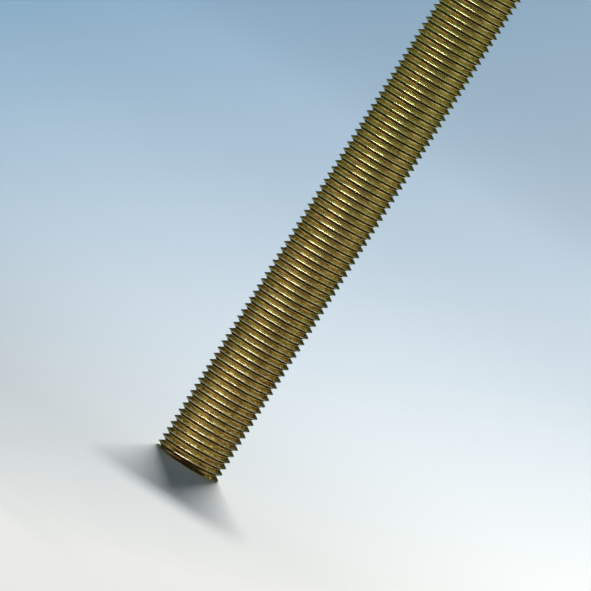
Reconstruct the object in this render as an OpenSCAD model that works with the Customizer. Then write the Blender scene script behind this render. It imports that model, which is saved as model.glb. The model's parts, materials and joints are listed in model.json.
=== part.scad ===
// Threaded tube for lamp making: a brass tube with a fine metric thread from end to end,
// a plain bore for the cable, and both ends sawn square and deburred inside.

/* [Tube] */
// Length between the two sawn ends
tube_length = 80; // [20:1:100]
// Wall left between the root of the thread and the bore that the cable passes through
wall = 0.73; // [0.5:0.01:2]
// Deburring chamfer at both mouths of the bore
bore_chamfer = 0.2; // [0.05:0.05:0.4]

/* [Thread] */
// Diameter over the crests
thread_d = 9.85; // [6:0.05:16]
// Distance from one crest to the next
thread_pitch = 1; // [0.75:0.05:1.25]
// Angle between the two flanks of a groove
flank_angle = 60; // [55:1:60]
// Width of the flat on the crest
crest_flat = 0.08; // [0.04:0.01:0.12]
// Width of the flat at the root
root_flat = 0.12; // [0.04:0.01:0.25]
// Direction, seen from above, in which the crest runs out at the lower end
runout_angle = 315; // [0:5:355]

/* [Detail] */
// Flat facets in one turn of the thread
turn_facets = 18; // [16:1:20]

/* [Hidden] */
$fn = 96;

brass = [0.60, 0.50, 0.22];
end_overrun = 1;       // how far the cutting shapes reach past an end face

flank_width = (thread_pitch - crest_flat - root_flat) / 2;
thread_depth = flank_width / tan(flank_angle / 2);
crest_r = thread_d / 2;
root_r = crest_r - thread_depth;
bore_r = root_r - wall;

// One pitch of the thread as [radius, height], from the lower root to the upper one
thread_profile = [
    [root_r, -crest_flat / 2 - flank_width],
    [crest_r, -crest_flat / 2],
    [crest_r, crest_flat / 2],
    [root_r, crest_flat / 2 + flank_width]
];
corners = len(thread_profile);

// The helix starts and stops a whole turn outside the tube, where the ends are sawn off
turns = ceil(tube_length / thread_pitch) + 3;
stations = turns * turn_facets;
start_z = -2 * thread_pitch;

// A corner of the profile at one station of the helix
function helix_point(station, corner) =
    let (
        turn_angle = 360 * station / turn_facets,
        angle = runout_angle + turn_angle,
        r = thread_profile[corner][0],
        z = start_z + thread_pitch * turn_angle / 360 + thread_profile[corner][1]
    )
    [r * cos(angle), r * sin(angle), z];

// Right-hand threaded rod, longer than the tube at both ends
module threaded_rod() {
    rod_points = [
        for (station = [0 : stations])
            for (corner = [0 : corners - 1]) helix_point(station, corner),
        // the lower root of the turn that would follow, which closes the last groove
        for (station = [1 : turn_facets]) helix_point(stations + station, 0),
        [0, 0, start_z - thread_pitch],
        [0, 0, start_z + (turns + 2) * thread_pitch]
    ];
    last_row = corners * (stations + 1);
    foot = last_row + turn_facets;
    head = foot + 1;

    function index(station, corner) =
        corner < corners ? (station <= stations ? corners * station + corner
                                                : last_row + station - stations - 1)
                         : index(station + turn_facets, 0);

    rod_faces = [
        for (station = [0 : stations - 1], corner = [0 : corners - 1])
            let (
                a = index(station, corner),
                b = index(station + 1, corner),
                c = index(station + 1, corner + 1),
                d = index(station, corner + 1)
            )
            each [[a, c, b], [a, d, c]],
        for (station = [0 : turn_facets - 1])
            [foot, index(station, 0), index(station + 1, 0)],
        [foot, for (corner = [corners : -1 : 0]) index(0, corner)],
        for (station = [stations - turn_facets : stations - 1])
            [head, index(station + 1, corners), index(station, corners)],
        [head, for (corner = [0 : corners]) index(stations, corner)]
    ];
    polyhedron(rod_points, rod_faces);
}

// The bore with a chamfer at each mouth, as one turned shape
module bore() {
    rotate_extrude()
        polygon([
            [0, -end_overrun],
            [bore_r + bore_chamfer + end_overrun, -end_overrun],
            [bore_r, bore_chamfer],
            [bore_r, tube_length - bore_chamfer],
            [bore_r + bore_chamfer + end_overrun, tube_length + end_overrun],
            [0, tube_length + end_overrun]
        ]);
}

module threaded_tube() {
    color(brass)
        difference() {
            intersection() {
                threaded_rod();
                cylinder(h = tube_length, r = crest_r + end_overrun);
            }
            bore();
        }
}

threaded_tube();
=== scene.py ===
# %% [markdown]
# # A threaded lamp tube in raw brass
# The object is one brass tube with a fine thread from end to end. The construction model already has its
# size and place, so this lesson only dresses it: a smoother thread made by a rule, a brass that has been
# handled, and a plain studio around it. Everything is in metres, in the construction model's own frame,
# with the tube standing on its sawn end at the origin.

# %% Load the construction model
import json
import math

import bpy
from mathutils import Matrix, Vector


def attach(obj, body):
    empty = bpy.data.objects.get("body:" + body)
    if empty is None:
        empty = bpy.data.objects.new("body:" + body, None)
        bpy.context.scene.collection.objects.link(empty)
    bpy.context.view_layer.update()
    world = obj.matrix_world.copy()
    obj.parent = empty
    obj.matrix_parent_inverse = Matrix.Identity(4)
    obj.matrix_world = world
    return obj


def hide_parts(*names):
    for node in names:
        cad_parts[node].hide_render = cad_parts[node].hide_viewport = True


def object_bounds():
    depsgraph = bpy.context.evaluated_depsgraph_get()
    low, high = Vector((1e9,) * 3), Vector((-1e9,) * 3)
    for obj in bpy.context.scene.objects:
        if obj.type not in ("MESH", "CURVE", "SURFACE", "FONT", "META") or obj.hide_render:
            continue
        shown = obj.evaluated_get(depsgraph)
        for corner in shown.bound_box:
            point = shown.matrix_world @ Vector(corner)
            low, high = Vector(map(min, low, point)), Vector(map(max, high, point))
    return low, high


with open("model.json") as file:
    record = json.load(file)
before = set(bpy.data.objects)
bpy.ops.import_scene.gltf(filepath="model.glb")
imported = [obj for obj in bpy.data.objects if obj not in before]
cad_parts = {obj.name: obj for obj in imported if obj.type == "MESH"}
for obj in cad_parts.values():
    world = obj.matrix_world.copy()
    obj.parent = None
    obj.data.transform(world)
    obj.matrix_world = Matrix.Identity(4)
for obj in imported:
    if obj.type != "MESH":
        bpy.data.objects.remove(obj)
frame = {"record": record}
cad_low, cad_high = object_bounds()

MM = 0.001
mounts = {mount["name"]: mount for mount in frame["record"]["mounts"]}
tube_length = cad_high.z - cad_low.z
crest_radius = mounts["outer_thread"]["dims"]["r_mm"] * MM
bore_radius = mounts["cable_bore"]["dims"]["r_mm"] * MM
bore_chamfer = (tube_length - mounts["cable_bore"]["dims"]["length_mm"] * MM) / 2
print(f"tube {tube_length / MM:.1f} mm long, {2 * crest_radius / MM:.2f} mm over the crests,",
      f"bore {2 * bore_radius / MM:.2f} mm")

# %% [markdown]
# ## A helper for wiring nodes
# Both the thread and the finishes are node trees. Building a tree by script repeats two steps: add a
# node, then feed each of its inputs with a number or with another node's output. One small class does
# both, so that the cells below read like the formulas they stand for.

# %% Wiring helper
class Wiring:
    """Adds nodes to one tree and feeds their inputs with values or with other nodes' outputs."""

    def __init__(self, tree):
        self.tree = tree

    def feed(self, socket, value):
        if isinstance(value, bpy.types.NodeSocket):
            self.tree.links.new(value, socket)
        else:
            socket.default_value = value

    def add(self, kind, inputs=None, **settings):
        node = self.tree.nodes.new(kind)
        for name, value in settings.items():
            setattr(node, name, value)
        for key, value in (inputs or {}).items():
            self.feed(node.inputs[key], value)
        return node

    def math(self, operation, *values):
        node = self.add("ShaderNodeMath", operation=operation)
        for socket, value in zip(node.inputs, values):
            self.feed(socket, value)
        return node.outputs[0]

    def split(self, number, per_group):
        """Which group of so many a running number falls in, and its place in that group."""
        guarded = self.math("ADD", number, 0.5)      # half a step keeps rounding from picking a neighbour
        group = self.math("FLOOR", self.math("DIVIDE", guarded, per_group))
        return group, self.math("SUBTRACT", number, self.math("MULTIPLY", group, per_group))

    def stretch(self, vector, factors):
        return self.add("ShaderNodeVectorMath", {0: vector, 1: factors}, operation="MULTIPLY").outputs[0]

    def ramp(self, value, low, high, to_low=0.0, to_high=1.0, curve="SMOOTHSTEP"):
        """A soft step, or a straight one: to_low at low and before it, to_high at high and past it."""
        node = self.add("ShaderNodeMapRange", interpolation_type=curve)
        for key, number in zip(("Value", "From Min", "From Max", "To Min", "To Max"),
                               (value, low, high, to_low, to_high)):
            self.feed(node.inputs[key], number)
        return node.outputs["Result"]

    def mix(self, factor, first, second):
        node = self.add("ShaderNodeMix", data_type="RGBA", blend_type="MIX")
        factor_socket, first_socket, second_socket = node.inputs[0], node.inputs[6], node.inputs[7]
        self.feed(factor_socket, factor)
        self.feed(first_socket, first)
        self.feed(second_socket, second)
        return node.outputs[2]

    def noise(self, vector, scale, detail, roughness, seed):
        node = self.add("ShaderNodeTexNoise", noise_dimensions="4D")
        for key, value in (("Vector", vector), ("W", seed), ("Scale", scale), ("Detail", detail),
                           ("Roughness", roughness)):
            self.feed(node.inputs[key], value)
        return node.outputs["Fac"]


print("wiring helper ready")

# %% [markdown]
# ## A helper for shader groups
# The thread, the sawn ends and the bore are the same metal, so they share their effects as node groups. A
# group is made once, with named inputs, and each finish gives it its own values.

# %% Group helper
FLOAT = "NodeSocketFloat"
VECTOR = "NodeSocketVector"
COLOR = "NodeSocketColor"


def shader_group(name, inputs, outputs):
    """A shader node group with named sockets; returns its wiring, its inputs and its output node."""
    tree = bpy.data.node_groups.new(name, "ShaderNodeTree")
    for label, kind, value in inputs:
        tree.interface.new_socket(name=label, in_out="INPUT", socket_type=kind).default_value = value
    for label, kind in outputs:
        tree.interface.new_socket(name=label, in_out="OUTPUT", socket_type=kind)
    wiring = Wiring(tree)
    return wiring, wiring.add("NodeGroupInput").outputs, wiring.add("NodeGroupOutput").inputs


print("group helper ready")

# %% [markdown]
# ## How the brass has aged
# Bare brass never keeps one colour. Here it runs olive towards the upper end and warmer towards the
# lower end, and a finer brown mottling lies inside both. Painting a picture of that would tie it to one
# tube, so noise on the object's own coordinates decides where each tone goes, and the height along the
# tube shifts the balance. The noise varies around 0.5, and a pair of levels says where a tone starts and
# where it is full.

# %% Tarnish group
OLIVE_HEIGHTS = (10 * MM, 62 * MM)      # olive takes over between these heights
OLIVE_SHIFT = (-0.15, 0.17)             # what the height adds to the noise, below and above
PATCH_LEVELS = (0.38, 0.66)
MOTTLE_LEVELS = (0.40, 0.65)
MOTTLE_SHARE = 0.60
wiring, given, out = shader_group(
    "tarnish",
    [("Clean", COLOR, (0.64, 0.52, 0.20, 1)), ("Olive", COLOR, (0.46, 0.44, 0.17, 1)),
     ("Brown", COLOR, (0.44, 0.27, 0.10, 1)), ("Speck", COLOR, (0.32, 0.12, 0.03, 1)),
     ("Fleck", COLOR, (0.85, 0.75, 0.36, 1)), ("Patch Scale", FLOAT, 70.0),
     ("Mottle Scale", FLOAT, 1600.0), ("Speck Scale", FLOAT, 1700.0)],
    [("Color", COLOR), ("Handled", FLOAT)])
tarnish_group = wiring.tree
place = wiring.add("ShaderNodeTexCoord").outputs["Object"]
height = wiring.add("ShaderNodeSeparateXYZ", {"Vector": place}).outputs["Z"]
upward = wiring.ramp(height, *OLIVE_HEIGHTS, *OLIVE_SHIFT)
patch_noise = wiring.noise(place, given["Patch Scale"], detail=3.0, roughness=0.6, seed=1.0)
patches = wiring.ramp(wiring.math("ADD", patch_noise, upward), *PATCH_LEVELS)
mottle_noise = wiring.noise(place, given["Mottle Scale"], detail=3.0, roughness=0.65, seed=2.0)
mottle = wiring.math("MULTIPLY", wiring.ramp(mottle_noise, *MOTTLE_LEVELS), MOTTLE_SHARE)
toned = wiring.mix(patches, given["Clean"], given["Olive"])
browned = wiring.mix(mottle, toned, given["Brown"])
print("tarnish group: aged tones wired")

# %% [markdown]
# ## Specks of the handled end
# Dark specks and bright flecks, drawn out along the turns, gather at the lower end, which has been
# gripped most. They could be small spots of paint on the mesh, but noise that is squeezed along the axis
# gives the same streaks at any size of tube. The group also tells how much a place has been handled, for
# the finishes below.

# %% Specks and flecks
HANDLED_HEIGHTS = (12 * MM, 60 * MM)    # fully handled below the first, untouched above the second
HANDLED_SPECKS = 0.65                   # strength that handling adds to the specks
OTHER_SPECKS = 0.30                     # strength of the specks everywhere
STREAK_SQUEEZE = (1.0, 1.0, 2.5)
SPECK_LEVELS = (0.50, 0.58)
FLECK_LEVELS = (0.53, 0.61)
handled = wiring.ramp(height, *HANDLED_HEIGHTS, 1.0, 0.0)
speck_weight = wiring.math("MULTIPLY_ADD", handled, HANDLED_SPECKS, OTHER_SPECKS)
streaks = wiring.stretch(place, STREAK_SQUEEZE)
speck_noise = wiring.noise(streaks, given["Speck Scale"], detail=3.0, roughness=0.6, seed=7.0)
fleck_noise = wiring.noise(streaks, given["Speck Scale"], detail=3.0, roughness=0.6, seed=8.0)
specks = wiring.math("MULTIPLY", wiring.ramp(speck_noise, *SPECK_LEVELS), speck_weight)
flecks = wiring.math("MULTIPLY", wiring.ramp(fleck_noise, *FLECK_LEVELS), speck_weight)
specked = wiring.mix(specks, browned, given["Speck"])
wiring.feed(out["Color"], wiring.mix(flecks, specked, given["Fleck"]))
wiring.feed(out["Handled"], handled)
print("tarnish group:", len(tarnish_group.nodes), "nodes")

# %% [markdown]
# ## Marks of the tools
# A die or a saw leaves fine lines along the way it moved. They are far too small to model, but they break
# up a reflection, so they go into the bump and the roughness. The lines come from noise that is squeezed
# across the direction of the cut: around the axis on the thread, along the axis in the bore, straight
# across on the sawn ends. The group takes the squeeze as an input, so all three finishes share it. It
# hands out its grit as well, which makes the shallow pits at the handled end.

# %% Tool marks group
GRIT_HEIGHT = 0.4                       # height of the grit against the lines
wiring, given, out = shader_group(
    "tool marks",
    [("Squeeze", VECTOR, (300.0, 300.0, 6000.0)), ("Grit Scale", FLOAT, 4000.0)],
    [("Height", FLOAT), ("Grit", FLOAT), ("Scuff", FLOAT)])
tool_marks_group = wiring.tree
place = wiring.add("ShaderNodeTexCoord").outputs["Object"]
squeezed = wiring.stretch(place, given["Squeeze"])
lines = wiring.noise(squeezed, 1.0, detail=2.0, roughness=0.6, seed=3.0)
grit = wiring.noise(place, given["Grit Scale"], detail=2.0, roughness=0.7, seed=4.0)
half_lines = wiring.math("MULTIPLY", lines, 0.5)
wiring.feed(out["Height"], wiring.math("MULTIPLY_ADD", grit, GRIT_HEIGHT, lines))
wiring.feed(out["Grit"], grit)
wiring.feed(out["Scuff"], wiring.math("MULTIPLY_ADD", grit, 0.5, half_lines))
print("tool marks group:", len(tool_marks_group.nodes), "nodes")

# %% [markdown]
# ## Roots with grime and painted shade, and rubbed edges
# Cutting oil and dust settle at the bottom of the grooves and stay there, while fingers and nuts rub the
# crests bright. Both follow the depth of the groove, which the thread mesh will carry as an attribute: 0
# on a crest and 1 at a root. A little noise keeps the border of the grime uneven. The two colours come in
# from outside: at the handled end the roots are darker, with painted shade on top of the grime, and the
# crests are paler than the rest.

# %% Group for grime, painted shade and rubbing
UNEVENNESS = 0.3                        # how much the border of the grime wanders, in shares of the depth
# where the groove is deep the root colour lies: grime, darkened with painted shade at the handled end
GRIME_AND_SHADE_FULL = 1.05                       # depth at which the grime covers the brass
RUBBED_DEPTHS = (0.02, 0.22)            # rubbed bright above the first, not at all below the second
WORN_LEVELS = (0.35, 0.65)
LEAST_WORN = 0.4
wiring, given, out = shader_group(
    "grime and rubbing",
    [("Color", COLOR, (0.6, 0.5, 0.2, 1)), ("Grime And Shade", COLOR, (0.48, 0.40, 0.20, 1)),
     ("Rubbed", COLOR, (0.70, 0.69, 0.40, 1)), ("Depth", FLOAT, 0.5), ("Grime Start", FLOAT, 0.80)],
    [("Color", COLOR), ("Grime Mask", FLOAT), ("Rub Mask", FLOAT)])
grime_shade_rub_group = wiring.tree
place = wiring.add("ShaderNodeTexCoord").outputs["Object"]
border_noise = wiring.noise(place, 1500.0, detail=3.0, roughness=0.6, seed=5.0)
uneven = wiring.math("MULTIPLY_ADD", border_noise, UNEVENNESS, -UNEVENNESS / 2)
groove = wiring.math("ADD", given["Depth"], uneven)
grime_and_shade = wiring.ramp(groove, given["Grime Start"], GRIME_AND_SHADE_FULL)
worn_noise = wiring.noise(place, 500.0, detail=3.0, roughness=0.6, seed=6.0)
worn_spots = wiring.ramp(worn_noise, *WORN_LEVELS, LEAST_WORN, 1.0)
rub = wiring.math("MULTIPLY", wiring.ramp(groove, *RUBBED_DEPTHS, 1.0, 0.0), worn_spots)
rubbed = wiring.mix(rub, given["Color"], given["Rubbed"])
wiring.feed(out["Color"], wiring.mix(grime_and_shade, rubbed, given["Grime And Shade"]))
wiring.feed(out["Grime Mask"], grime_and_shade)
wiring.feed(out["Rub Mask"], rub)
print("grime group:", len(grime_shade_rub_group.nodes), "nodes")

# %% [markdown]
# ## A finish of brass
# Every finish is metal all through, so it is one Principled shader whose colour, roughness and bump come
# from the three groups. A function wires them, because only the tones and a few sizes differ from one
# finish to the next.

# %% Brass finish
CREST = (0.68, 0.68, 0.32)              # rubbed bright
HANDLED_CREST = (0.80, 0.82, 0.60)
GRIME = (0.48, 0.40, 0.20)              # at the root of the thread
# darker than the grime elsewhere: painted shade at the roots of the handled end, on top of the grime
HANDLED_GRIME_AND_SHADE = (0.39, 0.30, 0.13)
EDGE_TINT = (0.40, 0.36, 0.25)          # aged metal doesn't flare to white at its outline
SCUFF_LEVELS = (0.30, 0.70)
GRIME_ROUGHNESS = 0.04                  # added where grime lies
SCUFF_ROUGHNESS = 0.12                  # added on the crests of the handled end
PITTING = 12.0                          # depth of the pits at the handled end, against the tool marks


def brass_finish(name, tones, squeeze, roughness, bump, grime_and_shade_start):
    """One finish: tarnish, then grime by depth with painted shade at the handled end, and tool marks in
    the roughness and the bump.
    """
    material = bpy.data.materials.new(name)
    material.use_nodes = True
    wiring = Wiring(material.node_tree)
    shader = material.node_tree.nodes["Principled BSDF"]
    shader.inputs["Metallic"].default_value = 1.0
    shader.inputs["Specular Tint"].default_value = (*EDGE_TINT, 1)

    tarnish = wiring.add("ShaderNodeGroup", node_tree=tarnish_group)
    for label, color in tones.items():
        tarnish.inputs[label].default_value = (*color, 1)
    handled = tarnish.outputs["Handled"]
    depth = wiring.add("ShaderNodeAttribute", attribute_name="groove_depth").outputs["Fac"]
    rubbed = wiring.mix(handled, (*CREST, 1), (*HANDLED_CREST, 1))
    # the colour at the roots: grime, with painted shade added at the handled end
    root_grime_and_shade = wiring.mix(handled, (*GRIME, 1), (*HANDLED_GRIME_AND_SHADE, 1))
    worn = wiring.add("ShaderNodeGroup", {
        "Color": tarnish.outputs["Color"], "Grime And Shade": root_grime_and_shade, "Rubbed": rubbed, "Depth": depth,
        "Grime Start": grime_and_shade_start}, node_tree=grime_shade_rub_group).outputs
    wiring.feed(shader.inputs["Base Color"], worn["Color"])

    marks = wiring.add("ShaderNodeGroup", {"Squeeze": squeeze}, node_tree=tool_marks_group).outputs
    tooled = wiring.ramp(marks["Scuff"], *SCUFF_LEVELS, *roughness)
    dirty = wiring.math("MULTIPLY_ADD", worn["Grime Mask"], GRIME_ROUGHNESS, tooled)
    scuffed = wiring.math("MULTIPLY", handled, worn["Rub Mask"])
    wiring.feed(shader.inputs["Roughness"], wiring.math("MULTIPLY_ADD", scuffed, SCUFF_ROUGHNESS, dirty))

    pits = wiring.math("MULTIPLY", wiring.math("MULTIPLY", handled, PITTING), marks["Grit"])
    relief = wiring.add("ShaderNodeBump", {"Strength": 1.0, "Distance": bump,
                                           "Height": wiring.math("ADD", marks["Height"], pits)})
    wiring.feed(shader.inputs["Normal"], relief.outputs["Normal"])
    return material


print("brass finish ready")

# %% [markdown]
# ## Three finishes of one metal
# The thread is aged brass with grimy grooves, and at the handled end painted shade darkens the roots.
# The sawn ends are younger and matt, with straight saw marks. The bore still has the dull skin of the
# drawn tube, with lines along the axis. Wiring each by hand would repeat the same nodes three times, so
# the function above makes all three.

# %% Thread, sawn ends and bore
AGED = {"Clean": (0.51, 0.455, 0.235), "Olive": (0.415, 0.44, 0.19), "Brown": (0.485, 0.375, 0.165)}
FRESH = {"Clean": (0.72, 0.60, 0.27), "Olive": (0.62, 0.54, 0.24), "Brown": (0.52, 0.38, 0.17)}
DULL = {"Clean": (0.52, 0.42, 0.18), "Olive": (0.40, 0.36, 0.16), "Brown": (0.34, 0.22, 0.09)}
NO_GRIME_OR_SHADE = 2.0                          # a depth that is never reached
thread_brass = brass_finish("thread_brass", AGED, squeeze=(300, 300, 6000), roughness=(0.12, 0.26),
                            bump=0.0015 * MM, grime_and_shade_start=0.50)
sawn_brass = brass_finish("sawn_brass", FRESH, squeeze=(5000, 400, 400), roughness=(0.50, 0.75),
                          bump=0.010 * MM, grime_and_shade_start=NO_GRIME_OR_SHADE)
bore_brass = brass_finish("bore_brass", DULL, squeeze=(4000, 4000, 120), roughness=(0.35, 0.60),
                          bump=0.006 * MM, grime_and_shade_start=NO_GRIME_OR_SHADE)
print("finishes:", thread_brass.name, sawn_brass.name, bore_brass.name)

# %% [markdown]
# ## The thread as a rule
# A thread could be swept along a helix and cut off at the ends, but cutting a fine mesh is slow and
# leaves ragged edges. The rule here is simpler. At every direction around the axis, the height of the
# nearest crest is known, so the radius at any height is known too. A grid of points is wrapped round the
# axis by that rule, and points past an end are pulled back to it, which saws the ends off exactly. The
# same rows go on over the upper end, down the bore and back to the start, so the tube is one closed skin.

# %% Sizes of the thread
PITCH = 1.0 * MM              # from crest to crest
CREST_FLAT = 0.05 * MM        # width of the flat on the crest
FLANK_ANGLE = math.radians(63)
THREAD_DEPTH = 0.66 * MM
CREST_ROUNDING = 0.15 * MM    # softness of the corners at the crest
ROOT_ROUNDING = 0.08 * MM     # softness of the hollow at the root
RUNOUT = math.radians(315)    # direction in which the crest runs out at the lower end
SAW_RISE = 0.20 * MM          # how much higher the lower cut ends on the -X side
NICK_DEPTH = 0.06 * MM        # deepest bruise on a crest
SEED = 11                     # picks where the bruises are
SPARE_TURNS = 2               # pitches past each end, for the saw

flank_tangent = math.tan(FLANK_ANGLE / 2)
flat_share = CREST_FLAT / 2 / flank_tangent / CREST_ROUNDING
crest_loss = (1 - flat_share) ** 3 * CREST_ROUNDING / 6      # what the rounding takes off the crest
turns = math.ceil(tube_length / PITCH) + 2 * SPARE_TURNS
upper_half = [0.03, 0.08, 0.15, 0.39, 0.43, 0.47]            # from crest to root, closer where it bends
profile_rows = [-0.5] + [-row for row in reversed(upper_half)] + [0.0] + upper_half
print(turns, "turns,", len(profile_rows), "rows of points in each pitch")

# %% [markdown]
# ## Inputs of the tree
# Every size is a named input of the node tree, so the same tree would make a longer tube or a coarser
# thread. The modifier addresses its inputs by identifier, so the script keeps each identifier as it makes
# the socket.

# %% Tree and inputs
tree = bpy.data.node_groups.new("threaded tube", "GeometryNodeTree")
tree.interface.new_socket(name="Geometry", in_out="OUTPUT", socket_type="NodeSocketGeometry")
settings = {
    "Length": tube_length, "Crest Radius": crest_radius, "Bore Radius": bore_radius,
    "Bore Chamfer": bore_chamfer, "Pitch": PITCH, "Crest Flat": CREST_FLAT, "Thread Depth": THREAD_DEPTH,
    "Flank Tangent": flank_tangent, "Crest Rounding": CREST_ROUNDING, "Crest Loss": crest_loss,
    "Root Rounding": ROOT_ROUNDING, "Runout": RUNOUT, "Saw Rise": SAW_RISE, "Nick Depth": NICK_DEPTH,
    "Seed": float(SEED),
    "Thread Finish": thread_brass, "Sawn Finish": sawn_brass, "Bore Finish": bore_brass,
}
identifiers = {}
for label, value in settings.items():
    kind = "NodeSocketMaterial" if isinstance(value, bpy.types.Material) else FLOAT
    identifiers[label] = tree.interface.new_socket(name=label, in_out="INPUT", socket_type=kind).identifier
wiring = Wiring(tree)
size = wiring.add("NodeGroupInput").outputs
print("tree inputs:", ", ".join(identifiers))

# %% [markdown]
# ## From a flat grid to rows and columns
# The grid node numbers its points column by column. Division and remainder turn that number back into a
# column, which is a direction around the axis, and a row. The rows of the thread come first, then the
# lining of the tube: the upper mouth, the bore, the lower mouth, and one last row that closes the skin.

# %% Rows, columns and directions
COLUMNS = 80                  # points around the axis
BORE_STRETCHES = 8            # rows of faces along the bore
rows_in_pitch = len(profile_rows)
thread_rows = rows_in_pitch * turns
lining_rows = BORE_STRETCHES + 1 + 2      # the ends of all stretches, and the two mouths
all_rows = thread_rows + lining_rows + 1
grid = wiring.add("GeometryNodeMeshGrid", {
    "Vertices X": COLUMNS + 1, "Vertices Y": all_rows}).outputs["Mesh"]
number = wiring.add("GeometryNodeInputIndex").outputs[0]
column, row = wiring.split(number, all_rows)
direction = wiring.math("MULTIPLY", column, 2 * math.pi / COLUMNS)
cosine = wiring.math("COSINE", direction)
sine = wiring.math("SINE", direction)
is_lining = wiring.math("GREATER_THAN", row, thread_rows - 0.5)
is_last = wiring.math("GREATER_THAN", row, all_rows - 1.5)
print("grid:", COLUMNS, "columns by", all_rows, "rows")

# %% [markdown]
# ## Height of each row
# A thread row belongs to one pitch and to one place in its profile. Going once round the axis raises it
# by one pitch, which makes the helix. The lower end was sawn a little out of square, so its height
# depends on the direction, and rows beyond an end are held at that end. The last row is sent far down
# first, so that it is held at the lower end too.

# %% Heights
FAR_DOWN = -10.0              # metres, below any tube
pitch_number, row_in_pitch = wiring.split(row, rows_in_pitch)
profile = wiring.add("GeometryNodeIndexSwitch", data_type="FLOAT")
while len(profile.index_switch_items) < rows_in_pitch:
    profile.index_switch_items.new()
wiring.feed(profile.inputs["Index"], row_in_pitch)
for place_in_pitch, socket in zip(profile_rows, list(profile.inputs)[1:]):
    socket.default_value = place_in_pitch
helix = wiring.math("DIVIDE", wiring.math("SUBTRACT", direction, size["Runout"]), 2 * math.pi)
crest_height = wiring.math("ADD", wiring.math("SUBTRACT", pitch_number, SPARE_TURNS), helix)
free_height = wiring.math("MULTIPLY", wiring.math("ADD", crest_height, profile.outputs[0]), size["Pitch"])
saw_tilt = wiring.math("MULTIPLY", wiring.math("SUBTRACT", 1.0, cosine), 0.5)
lower_end = wiring.math("MULTIPLY", saw_tilt, size["Saw Rise"])
free_or_last = wiring.math("MULTIPLY_ADD", is_last, FAR_DOWN, free_height)
thread_height = wiring.math("MINIMUM", wiring.math("MAXIMUM", free_or_last, lower_end), size["Length"])
print("heights wired")

# %% [markdown]
# ## Radius of each row
# The distance to the nearest crest, divided by the slope of the flank, is the depth of the groove. Soft
# minimum and maximum round the crest and the root, as rolling does. Rounding lowers a crest a little, and
# that loss is taken off the depth again, so the tube keeps its size.

# %% Radii
phase = wiring.math("SUBTRACT", wiring.math("DIVIDE", thread_height, size["Pitch"]), helix)
from_crest = wiring.math("MULTIPLY", wiring.math("PINGPONG", phase, 0.5), size["Pitch"])
past_flat = wiring.math("SUBTRACT", from_crest, wiring.math("MULTIPLY", size["Crest Flat"], 0.5))
slope_depth = wiring.math("DIVIDE", past_flat, size["Flank Tangent"])
soft_crest = wiring.math("SMOOTH_MAX", slope_depth, 0.0, size["Crest Rounding"])
rounded_crest = wiring.math("SUBTRACT", soft_crest, size["Crest Loss"])
groove = wiring.math("SMOOTH_MIN", rounded_crest, size["Thread Depth"], size["Root Rounding"])
share_of_depth = wiring.math("DIVIDE", groove, size["Thread Depth"])
whole_radius = wiring.math("SUBTRACT", size["Crest Radius"], groove)
print("radii wired")

# %% [markdown]
# ## Bruised crests
# Crests are the parts that knock against other metal. A few dents could be cut in by hand, but noise with
# a fixed seed picks the places as well, and fades out down the flanks.

# %% Bruises
BRUISE_SCALE = 600.0
BRUISE_LEVELS = (0.70, 0.80)  # high levels, so that bruises are rare
BRUISE_REACH = 0.4            # share of the groove's depth at which a bruise ends
on_cylinder = wiring.add("ShaderNodeCombineXYZ", {
    "X": wiring.math("MULTIPLY", cosine, size["Crest Radius"]),
    "Y": wiring.math("MULTIPLY", sine, size["Crest Radius"]),
    "Z": thread_height}).outputs[0]
bruise_noise = wiring.noise(on_cylinder, BRUISE_SCALE, detail=1.0, roughness=0.5, seed=size["Seed"])
bruise = wiring.ramp(bruise_noise, *BRUISE_LEVELS)
on_crest = wiring.ramp(share_of_depth, 0.0, BRUISE_REACH, 1.0, 0.0)
nick = wiring.math("MULTIPLY", wiring.math("MULTIPLY", bruise, on_crest), size["Nick Depth"])
thread_radius = wiring.math("SUBTRACT", whole_radius, nick)
print("bruises wired")

# %% [markdown]
# ## Lining of the tube
# The lining needs no profile, only its place in the list: the first and the last row lie on the mouths,
# one chamfer wider than the bore, and the rest are spread evenly along the bore.

# %% Lining rows
lining_number = wiring.math("SUBTRACT", row, thread_rows)
share_of_bore = wiring.math("DIVIDE", wiring.math("SUBTRACT", lining_number, 1.0), float(BORE_STRETCHES))
along_bore = wiring.add("ShaderNodeClamp", {"Value": share_of_bore}).outputs[0]
at_upper_mouth = wiring.math("LESS_THAN", lining_number, 0.5)
at_lower_mouth = wiring.math("GREATER_THAN", lining_number, lining_rows - 1.5)
at_mouth = wiring.math("ADD", at_upper_mouth, at_lower_mouth)
lining_radius = wiring.math("MULTIPLY_ADD", at_mouth, size["Bore Chamfer"], size["Bore Radius"])
bore_top = wiring.math("SUBTRACT", size["Length"], size["Bore Chamfer"])
bore_span = wiring.math("SUBTRACT", bore_top, size["Bore Chamfer"])
bore_height = wiring.math("SUBTRACT", bore_top, wiring.math("MULTIPLY", along_bore, bore_span))
mouth_side = wiring.math("SUBTRACT", at_upper_mouth, at_lower_mouth)
mouth_height = wiring.math("MULTIPLY_ADD", mouth_side, size["Bore Chamfer"], bore_height)
lining_height = wiring.math("MULTIPLY_ADD", along_bore, lower_end, mouth_height)
print("lining wired")

# %% [markdown]
# ## Placing the points
# Each point takes its radius and height from the thread or from the lining. The mesh also keeps the depth
# of the groove for the grime, and each face remembers from its row whether it lies on an end or in the
# bore, because the rows can't be counted any more once the seam is sewn.

# %% Points
LINING_DEPTH = 0.5            # stands for the groove's depth where there is no groove
use_lining = wiring.math("SUBTRACT", is_lining, is_last)


def choose(thread_value, lining_value):
    """The lining's value on the lining rows, the thread's value on all others."""
    return wiring.add("GeometryNodeSwitch", {
        "Switch": use_lining, "False": thread_value, "True": lining_value}, input_type="FLOAT").outputs[0]


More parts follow.
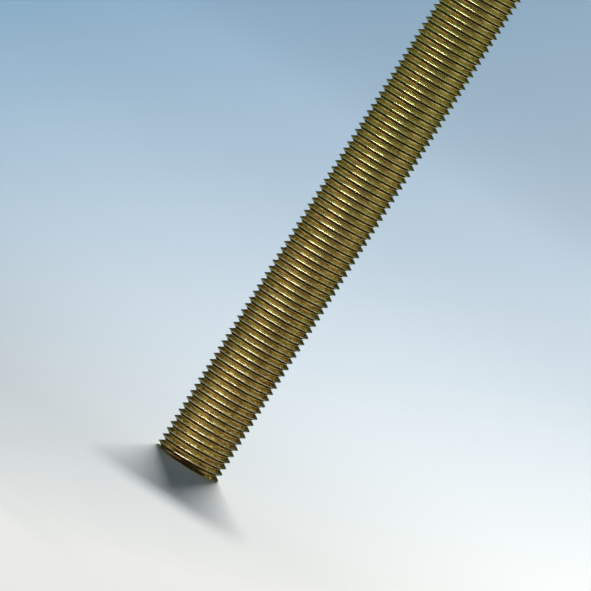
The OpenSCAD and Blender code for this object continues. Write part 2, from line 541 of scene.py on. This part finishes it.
radius = choose(thread_radius, lining_radius)
point = wiring.add("ShaderNodeCombineXYZ", {
    "X": wiring.math("MULTIPLY", radius, cosine),
    "Y": wiring.math("MULTIPLY", radius, sine),
    "Z": choose(thread_height, lining_height)}).outputs[0]
face_row = wiring.split(number, all_rows - 1)[1]
past_upper_mouth = wiring.math("GREATER_THAN", face_row, thread_rows + 0.5)
before_lower_mouth = wiring.math("LESS_THAN", face_row, thread_rows + lining_rows - 2.5)
in_bore = wiring.math("MULTIPLY", past_upper_mouth, before_lower_mouth)
on_end = wiring.math("SUBTRACT", wiring.math("GREATER_THAN", face_row, thread_rows - 1.5), in_bore)
remembered = wiring.add("GeometryNodeCaptureAttribute", {"Geometry": grid}, domain="FACE")
for label, where in (("End", on_end), ("Bore", in_bore)):
    remembered.capture_items.new("FLOAT", label)
    wiring.feed(remembered.inputs[label], where)
marked = wiring.add("GeometryNodeStoreNamedAttribute", {
    "Geometry": remembered.outputs["Geometry"], "Name": "groove_depth",
    "Value": choose(share_of_depth, LINING_DEPTH)}, data_type="FLOAT", domain="POINT").outputs[0]
placed = wiring.add("GeometryNodeSetPosition", {"Geometry": marked, "Position": point}).outputs[0]
print("points placed")

# %% [markdown]
# ## Closing the skin
# Merging by distance sews the seam, where the last column meets the first one pitch higher up, and
# removes the rows that were piled up at the ends. Sharp edges stay crisp, all others are shaded smooth.
# The finishes come last.

# %% Seam, edges and finishes
SEAM_GAP = 0.002 * MM
CRISP_ANGLE = math.radians(35)
sewn = wiring.add("GeometryNodeMergeByDistance", {"Geometry": placed, "Distance": SEAM_GAP}).outputs[0]
smooth = wiring.add("GeometryNodeSetShadeSmooth", {"Geometry": sewn}, domain="FACE").outputs[0]
edge_angle = wiring.add("GeometryNodeInputMeshEdgeAngle").outputs["Unsigned Angle"]
crisp = wiring.add("GeometryNodeSetShadeSmooth", {
    "Geometry": smooth, "Selection": wiring.math("GREATER_THAN", edge_angle, CRISP_ANGLE),
    "Shade Smooth": False}, domain="EDGE").outputs[0]
finished = wiring.add("GeometryNodeRealizeInstances", {"Geometry": crisp}).outputs[0]
for label, where in (("Thread Finish", True), ("Sawn Finish", remembered.outputs["End"]),
                     ("Bore Finish", remembered.outputs["Bore"])):
    finished = wiring.add("GeometryNodeSetMaterial", {
        "Geometry": finished, "Selection": where, "Material": size[label]}).outputs[0]
wiring.feed(wiring.add("NodeGroupOutput").inputs["Geometry"], finished)
print("tree:", len(tree.nodes), "nodes")

# %% [markdown]
# ## Making the mesh
# A modifier on an empty mesh runs the tree. The evaluated result is copied to a plain mesh, because a
# model file can't hold live nodes, and the helper object is thrown away. The new piece then stands
# for the construction model's own tube.

# %% Threaded tube
maker = bpy.data.objects.new("thread_maker", bpy.data.meshes.new("thread_maker"))
bpy.context.scene.collection.objects.link(maker)
modifier = maker.modifiers.new("threaded tube", "NODES")
modifier.node_group = tree
for label, value in settings.items():
    modifier[identifiers[label]] = value
made = maker.evaluated_get(bpy.context.evaluated_depsgraph_get())
tube_mesh = bpy.data.meshes.new_from_object(made)
bpy.data.objects.remove(maker)
tube_mesh.materials.pop(index=0)      # the grid node's own empty slot
tube_mesh.name = "brass_threaded_tube"
tube = bpy.data.objects.new("brass_threaded_tube", tube_mesh)
bpy.context.scene.collection.objects.link(tube)
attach(tube, "root")
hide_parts("threaded_tube")
tube_mesh.calc_loop_triangles()
print("tube:", len(tube_mesh.vertices), "points,", len(tube_mesh.loop_triangles), "triangles,",
      [material.name for material in tube_mesh.materials])

# %% [markdown]
# ## What the eye and the brass see
# White paper needs to look white, yet more light would wash out the tube. So part of the brightness of
# the paper and of the ceiling is shown only to the eye and to reflections, and lights nothing. Light Path
# tells which rays those are.

# %% Seen or mirrored
def seen_or_mirrored(wiring):
    """1 where the eye or a reflection looks, 0 where light is gathered for a dull surface."""
    path = wiring.add("ShaderNodeLightPath").outputs
    mirrored = wiring.math("MAXIMUM", path["Is Glossy Ray"], path["Is Transmission Ray"])
    return wiring.math("MAXIMUM", path["Is Camera Ray"], mirrored)


print("ray test ready")

# %% [markdown]
# ## Paper and painted shade in front
# The tube stands on a sheet of pale paper. It is white in front and at the sides, and a soft blue fans
# out behind the tube from a point beside the viewer. Further in front the floor turns darker: painted
# shade, which the brass mirrors on its side towards the viewer. A picture could be laid on the floor, but
# soft steps between a few places, in metres, do the same with less.

# %% Paper and front shade tones
WHITE_PAPER = (0.92, 0.91, 0.865, 1)
BLUE_PAPER = (0.20, 0.32, 0.435, 1)
# darker floor further in front: painted shade, which the brass mirrors towards the viewer
FRONT_SHADE_TONE = (0.46, 0.42, 0.36, 1)
FAN_POINT = (-0.105, -0.45)           # where the tones meet
FAN_NEAREST = 0.3                     # nearer than this to the point, the fan keeps its width
FAN_SLOPES = (0.023, 0.339)           # sideways steps for each step away: all blue, all white
FRONT_WHITE = (-0.08, -0.18)          # whitening starts and ends at these distances in front of the tube
LEFT_WHITE = (-0.045, -0.075)         # and at these on its left
LEFT_SLANT = 0.09                     # the left border runs a little aslant
LEFT_SHARE = 0.9
FRONT_SHADE_BAND = (-0.25, -0.33)           # between these, in front, the paper gives way to the painted shade
paper_and_front_shade = bpy.data.materials.new("paper_and_front_shade")
paper_and_front_shade.use_nodes = True
wiring = Wiring(paper_and_front_shade.node_tree)
floor_place = wiring.add("ShaderNodeTexCoord").outputs["Object"]
along = wiring.add("ShaderNodeSeparateXYZ", {"Vector": floor_place}).outputs
away = wiring.math("MAXIMUM", wiring.math("SUBTRACT", along["Y"], FAN_POINT[1]), FAN_NEAREST)
aside = wiring.math("SUBTRACT", along["X"], FAN_POINT[0])
white = wiring.ramp(wiring.math("DIVIDE", aside, away), *FAN_SLOPES, curve="LINEAR")
white = wiring.math("MAXIMUM", white, wiring.ramp(along["Y"], *FRONT_WHITE))
left_of_fan = wiring.math("MULTIPLY_ADD", along["Y"], LEFT_SLANT, along["X"])
white = wiring.math("MAXIMUM", white, wiring.ramp(left_of_fan, *LEFT_WHITE, 0.0, LEFT_SHARE))
sheet_tint = wiring.mix(white, BLUE_PAPER, WHITE_PAPER)
tint = wiring.mix(wiring.ramp(along["Y"], *FRONT_SHADE_BAND), sheet_tint, FRONT_SHADE_TONE)
print("paper tones wired")

# %% [markdown]
# ## Floor
# One level plane carries the paper. It reaches far beyond the tube, so that no edge shows from any side.
# Far off and at the front, where the lamp no longer reaches it, the paper glows in its own colour, by the
# test above.

# %% Paper floor
FLOOR_SIZE = 14.0
FAR_GLOW = (0.22, 0.94)               # distances from the tube at which the glow starts and is full
FRONT_GLOW = (-0.04, -0.24)
FRONT_STRENGTH = 0.25
far = wiring.add("ShaderNodeVectorMath", {0: floor_place}, operation="LENGTH").outputs["Value"]
front_glow = wiring.ramp(along["Y"], *FRONT_GLOW, 0.0, FRONT_STRENGTH, "LINEAR")
glow = wiring.math("MAXIMUM", wiring.ramp(far, *FAR_GLOW), front_glow)
shader = paper_and_front_shade.node_tree.nodes["Principled BSDF"]
wiring.feed(shader.inputs["Base Color"], tint)
wiring.feed(shader.inputs["Emission Color"], tint)
wiring.feed(shader.inputs["Emission Strength"], wiring.math("MULTIPLY", seen_or_mirrored(wiring), glow))
shader.inputs["Roughness"].default_value = 0.9
shader.inputs["Specular IOR Level"].default_value = 0.1
bpy.ops.mesh.primitive_plane_add(size=FLOOR_SIZE, location=(0, 0, 0))
floor = bpy.context.object
floor.name = "paper_floor_and_front_shade"
floor.data.materials.append(paper_and_front_shade)
print("floor:", FLOOR_SIZE, "m square")

# %% [markdown]
# ## Surroundings
# Brass shows what is around it. Over the camera the studio is dark, and that darkness draws the thin dark
# line under each crest. Behind the tube stands a dim blue backdrop, and a dim ceiling shows in the brass
# when it is seen from above. Walls could be built, but the world's own colour does it with no mesh.

# %% Studio surround
ROOM = (0.02, 0.02, 0.02, 1)
BACKDROP = (0.14, 0.19, 0.24, 1)
CEILING = (0.24, 0.24, 0.22, 1)
BACKDROP_TURN = (-0.3, 0.3)           # the room gives way to the backdrop between these headings
CEILING_RISE = (0.55, 0.75)           # and the walls to the ceiling between these slopes
scene = bpy.context.scene
scene.view_settings.view_transform = "Standard"
world = bpy.data.worlds.new("studio")
scene.world = world
world.use_nodes = True
wiring = Wiring(world.node_tree)
heading = wiring.add("ShaderNodeTexCoord").outputs["Generated"]
toward = wiring.add("ShaderNodeSeparateXYZ", {"Vector": heading}).outputs
walls = wiring.mix(wiring.ramp(toward["Y"], *BACKDROP_TURN), ROOM, BACKDROP)
overhead = wiring.math("MULTIPLY", wiring.ramp(toward["Z"], *CEILING_RISE), seen_or_mirrored(wiring))
wiring.feed(world.node_tree.nodes["Background"].inputs["Color"], wiring.mix(overhead, walls, CEILING))
print("surround ready")

# %% [markdown]
# ## Lamps
# One soft lamp behind the tube lights the paper and throws the shadow towards the viewer. The other lamps
# are for the brass alone, so that the paper doesn't show a shadow from each of them: a long box above
# draws the bright line on the crests, a warm card left of the camera colours the roots, a pale card on
# each side lifts the outline, and a card at the foot keeps the tube's own shadow out of the flanks.

# %% Soft lamps
AREA_FACTOR = 4                       # an area lamp glows with its watts over four times its area


def soft_lamp(name, width, height, middle, facing, radiance, color, lights_paper=False):
    """A rectangular lamp that glows with the given radiance and isn't seen by the camera."""
    data = bpy.data.lights.new(name, "AREA")
    data.shape = "RECTANGLE"
    data.size = width
    data.size_y = height
    data.color = color
    data.energy = radiance * AREA_FACTOR * width * height
    lamp = bpy.data.objects.new(name, data)
    lamp.location = middle
    lamp.rotation_euler = Vector(facing).to_track_quat("-Z", "Y").to_euler()
    lamp.visible_camera = False
    lamp.visible_diffuse = lights_paper
    bpy.context.scene.collection.objects.link(lamp)
    print(f"{name}: {data.energy:.2f} W")


soft_lamp("top_box", width=0.38, height=0.05, middle=(-0.19, -0.09, 0.60), facing=(0, 0, -1),
          radiance=13.8, color=(1.0, 1.0, 0.98))
soft_lamp("back_box", width=0.10, height=0.10, middle=(0, 0.33, 0.62), facing=(0, -0.33, -0.62),
          radiance=133.0, color=(1.0, 0.99, 0.97), lights_paper=True)
soft_lamp("front_card", width=0.45, height=0.12, middle=(-0.44, -0.42, 0.06), facing=(0, 1, 0),
          radiance=1.4, color=(1.0, 0.52, 0.20))
soft_lamp("left_card", width=0.17, height=0.06, middle=(-0.22, -0.045, 0.03), facing=(1, 0, 0),
          radiance=1.2, color=(1.0, 0.90, 0.75))
soft_lamp("right_card", width=0.18, height=0.06, middle=(0.22, -0.05, 0.03), facing=(-1, 0.2, 0),
          radiance=1.6, color=(0.95, 1.0, 1.0))
soft_lamp("floor_card", width=0.060, height=0.0595, middle=(-0.022, -0.0352, 0.0005), facing=(0, 0, 1),
          radiance=0.88, color=(0.92, 1.0, 1.0))

# %% [markdown]
# ## Camera
# The view is a long lens from nearly level height, leaning over so that the tube crosses the picture on a
# slant. The lens length and the distance come from how little the pitch shrinks along the tube.

# %% Long lens
PICTURE = 591                         # pixels on each side
FOCAL_PIXELS = 8900.0
SENSOR = 36.0                         # width in millimetres, the unit of Blender's lens lengths
ELEVATION = math.radians(4.418)
ROLL = math.radians(32.247)
DISTANCE = 1206.68 * MM
ASIDE = Vector((6.542, 10.975)) * MM  # where the tube's middle sits right of and above the line of sight
aim = Vector((0, 0, tube_length / 2))
level_right = Vector((1, 0, 0))
back = Vector((0, -math.cos(ELEVATION), math.sin(ELEVATION)))
level_up = back.cross(level_right)
right = math.cos(ROLL) * level_right + math.sin(ROLL) * level_up
up = -math.sin(ROLL) * level_right + math.cos(ROLL) * level_up
camera_data = bpy.data.cameras.new("long_lens")
camera_data.sensor_width = SENSOR
camera_data.lens = SENSOR * FOCAL_PIXELS / PICTURE
camera_data.clip_end = 100.0
camera = bpy.data.objects.new("long_lens", camera_data)
scene.collection.objects.link(camera)
camera_turn = Matrix((right, up, back)).transposed().to_4x4()
camera_place = aim - ASIDE.x * right - ASIDE.y * up + DISTANCE * back
camera.matrix_world = Matrix.Translation(camera_place) @ camera_turn
scene.camera = camera
print(f"lens {camera_data.lens:.0f} mm at {DISTANCE:.2f} m")

# %% [markdown]
# ## Update
# Dressing the tube must not change its size. The view layer is brought up to date here.

# %% Update
bpy.context.view_layer.update()
